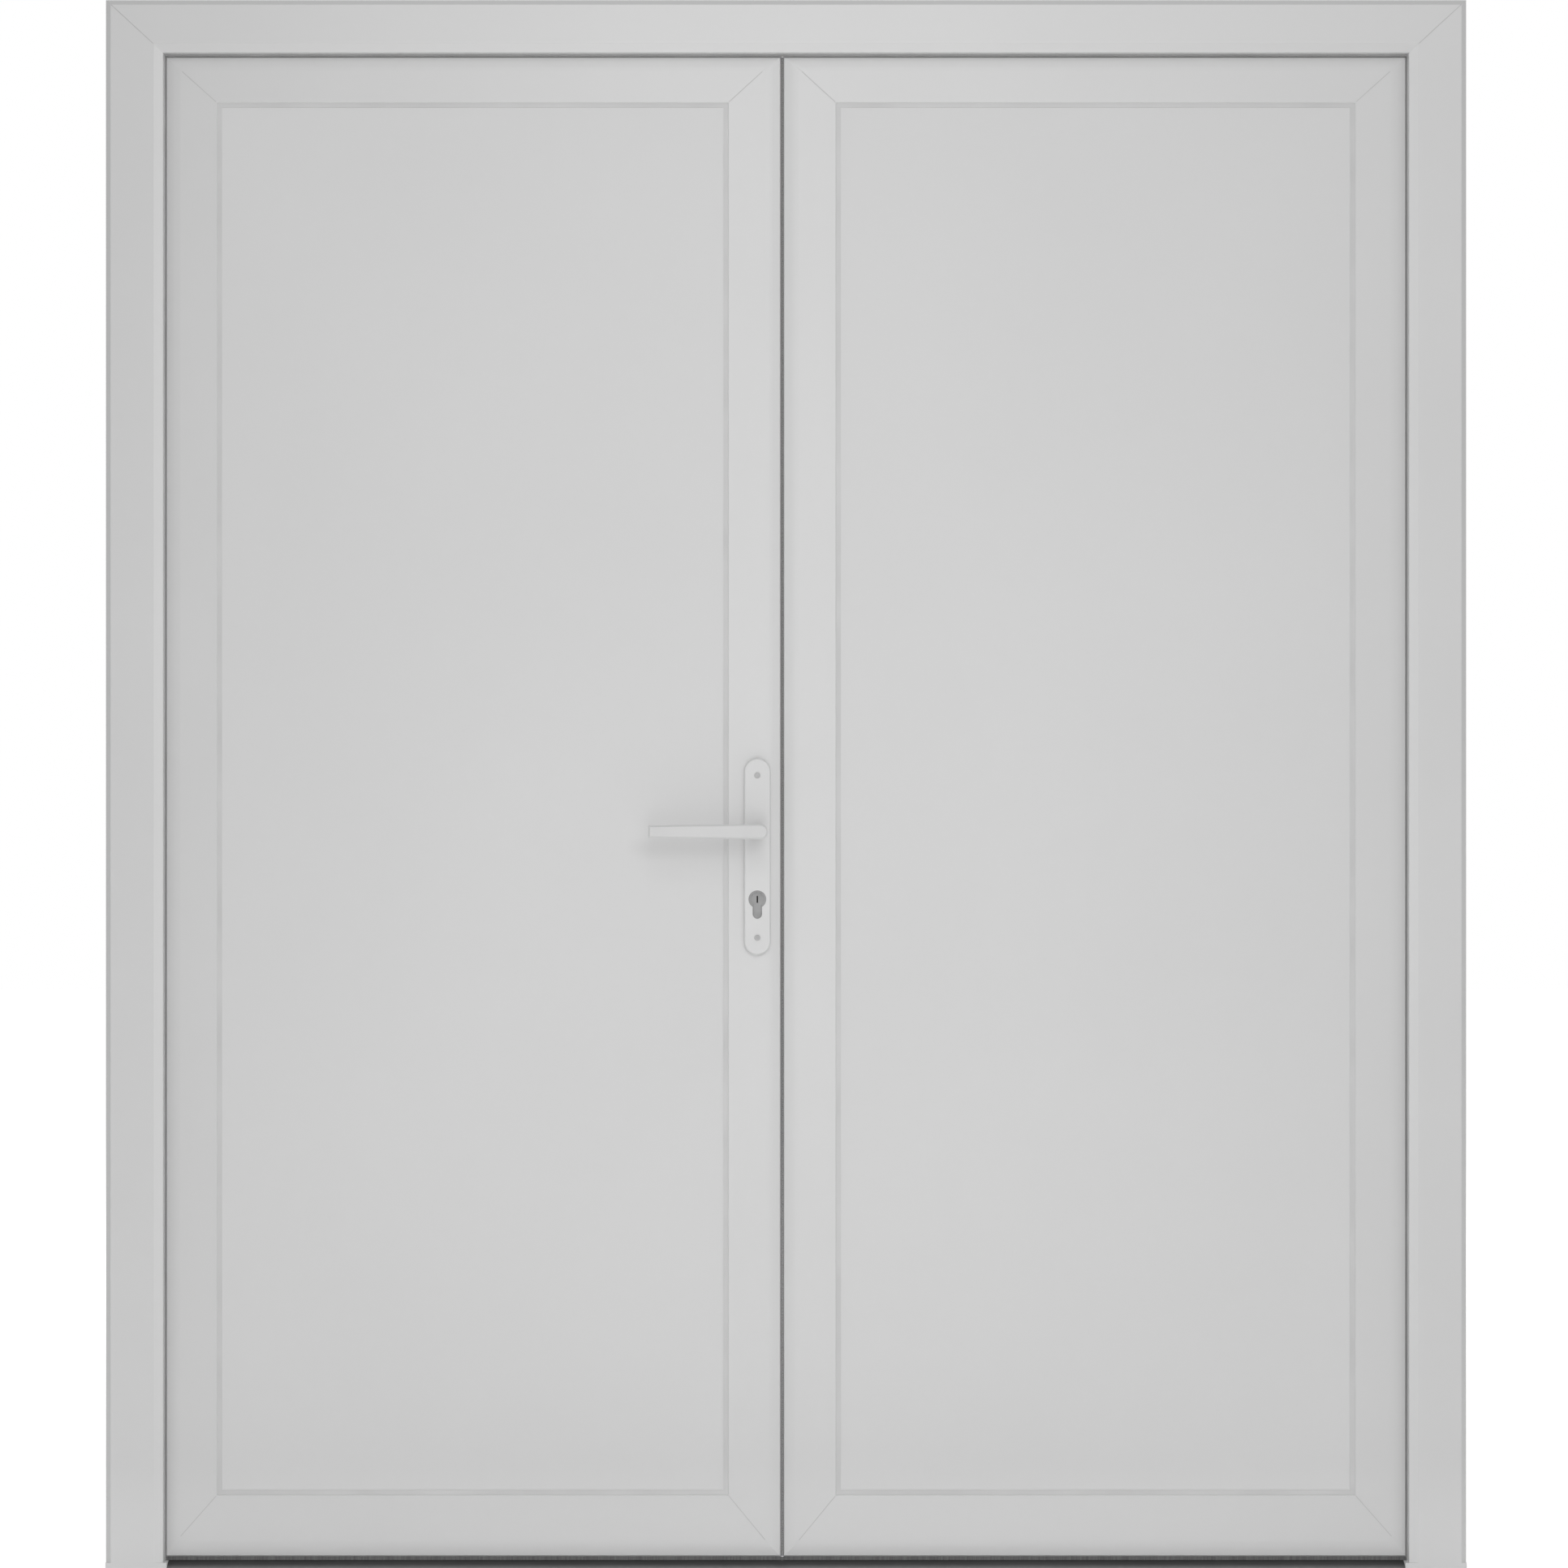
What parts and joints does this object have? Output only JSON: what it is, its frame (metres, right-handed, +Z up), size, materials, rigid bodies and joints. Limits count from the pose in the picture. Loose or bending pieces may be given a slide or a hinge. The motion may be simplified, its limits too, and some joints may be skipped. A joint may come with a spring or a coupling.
{
  "type": "prehung double door",
  "caption": "White plastic double door in its mitred frame on a low dark sill, with flat panels, a lever lock on the first leaf and flush bolts on the second.",
  "frame": {"origin": "middle of the sill's underside, on the floor", "axes": "+X to the right seen from the front, +Y from the front to the back, the side that the leaves open to, +Z up"},
  "size_m": [1.8, 0.19, 2.087],
  "materials": {
    "frame_white": "satin white plastic",
    "leaf_white": "satin white plastic",
    "panel_white": "smooth satin white sheet",
    "hardware_white": "satin white powder coat",
    "seal_grey": "pale grey rubber",
    "seal_black": "matt black rubber",
    "seal_slate": "matt slate-grey rubber",
    "brush_grey": "dark grey pile strip",
    "sill_metal": "dark anodised aluminium",
    "steel": "plain zinc-plated steel",
    "cylinder_nickel": "satin nickel"
  },
  "bodies": {
    "frame": {"jamb_left": "frame_white", "jamb_right": "frame_white", "head": "frame_white", "sill": "sill_metal", "foot_left": "frame_white", "foot_right": "frame_white", "frame_seal": "seal_black", "hinge_frame_half_left": "hardware_white", "hinge_frame_half_right": "hardware_white", "hinge_pin_left": "steel", "hinge_pin_right": "steel", "head_keep": "steel", "sill_keep": "steel"},
    "active_leaf": {"active_hinge_stile": "leaf_white", "active_lock_stile": "leaf_white", "active_top_rail": "leaf_white", "active_bottom_rail": "leaf_white", "active_panel": "panel_white", "active_panel_seal": "seal_grey", "active_inner_seal": "seal_black", "active_beads": "leaf_white", "active_flange_seal": "seal_black", "active_bottom_seal": "brush_grey", "active_hinge_half": "hardware_white", "active_meeting_seal": "seal_slate", "lock_case": "steel", "lock_faceplate": "steel", "cylinder_body": "cylinder_nickel", "cylinder_screw": "steel", "cylinder_collars": "cylinder_nickel", "plate_front": "hardware_white", "plate_back": "hardware_white", "plate_screws": "steel"},
    "lever": {"lever_front": "hardware_white", "lever_back": "hardware_white", "spindle": "steel", "follower": "steel", "grub_screws": "steel"},
    "latch_bolt": {"latch": "steel"},
    "dead_bolt": {"deadbolt": "steel"},
    "key_front": {"key_plug_front": "cylinder_nickel", "cylinder_cam": "steel"},
    "key_back": {"key_plug_back": "cylinder_nickel"},
    "passive_leaf": {"passive_hinge_stile": "leaf_white", "passive_meeting_stile": "leaf_white", "passive_top_rail": "leaf_white", "passive_bottom_rail": "leaf_white", "passive_panel": "panel_white", "passive_panel_seal": "seal_grey", "passive_inner_seal": "seal_black", "passive_beads": "leaf_white", "passive_flange_seal": "seal_black", "passive_bottom_seal": "brush_grey", "passive_hinge_half": "hardware_white", "strike_plate": "steel", "meeting_seal": "seal_slate", "flush_plate_top": "steel", "flush_plate_bottom": "steel"},
    "top_bolt": {"flush_bolt_top": "steel"},
    "bottom_bolt": {"flush_bolt_bottom": "steel"}
  },
  "joints": [
    {"name": "active_swing", "type": "hinge", "parent": "frame", "child": "active_leaf", "pos_m": [-0.855, 0.045, 0], "axis": [0, 0, 1], "range_deg": [0, 110]},
    {"name": "passive_swing", "type": "hinge", "parent": "frame", "child": "passive_leaf", "pos_m": [0.855, 0.045, 0], "axis": [0, 0, -1], "range_deg": [0, 110]},
    {"name": "lever_turn", "type": "hinge", "parent": "active_leaf", "child": "lever", "pos_m": [-0.038, 0.019, 0.987], "axis": [0, -1, 0], "range_deg": [0, 40], "stiffness_Nm_per_rad": 1.5, "springref_deg": -22.92},
    {"name": "latch_slide", "type": "slide", "parent": "active_leaf", "child": "latch_bolt", "axis": [1, 0, 0], "range_m": [0, 0.012]},
    {"name": "key_front_turn", "type": "hinge", "parent": "active_leaf", "child": "key_front", "pos_m": [-0.038, 0.019, 0.897], "axis": [0, 1, 0], "range_deg": [0, 360]},
    {"name": "deadbolt_slide", "type": "slide", "parent": "active_leaf", "child": "dead_bolt", "axis": [1, 0, 0], "range_m": [0, 0.02]},
    {"name": "key_back_turn", "type": "hinge", "parent": "active_leaf", "child": "key_back", "pos_m": [-0.038, 0.019, 0.897], "axis": [0, 1, 0], "range_deg": [0, 360]},
    {"name": "top_bolt_slide", "type": "slide", "parent": "passive_leaf", "child": "top_bolt", "axis": [0, 0, 1], "range_m": [0, 0.02]},
    {"name": "bottom_bolt_slide", "type": "slide", "parent": "passive_leaf", "child": "bottom_bolt", "axis": [0, 0, -1], "range_m": [0, 0.02]}
  ],
  "couplings": [
    {"joint": "key_front_turn", "follows": "deadbolt_slide", "rad_per_m": 314.16}
  ]
}
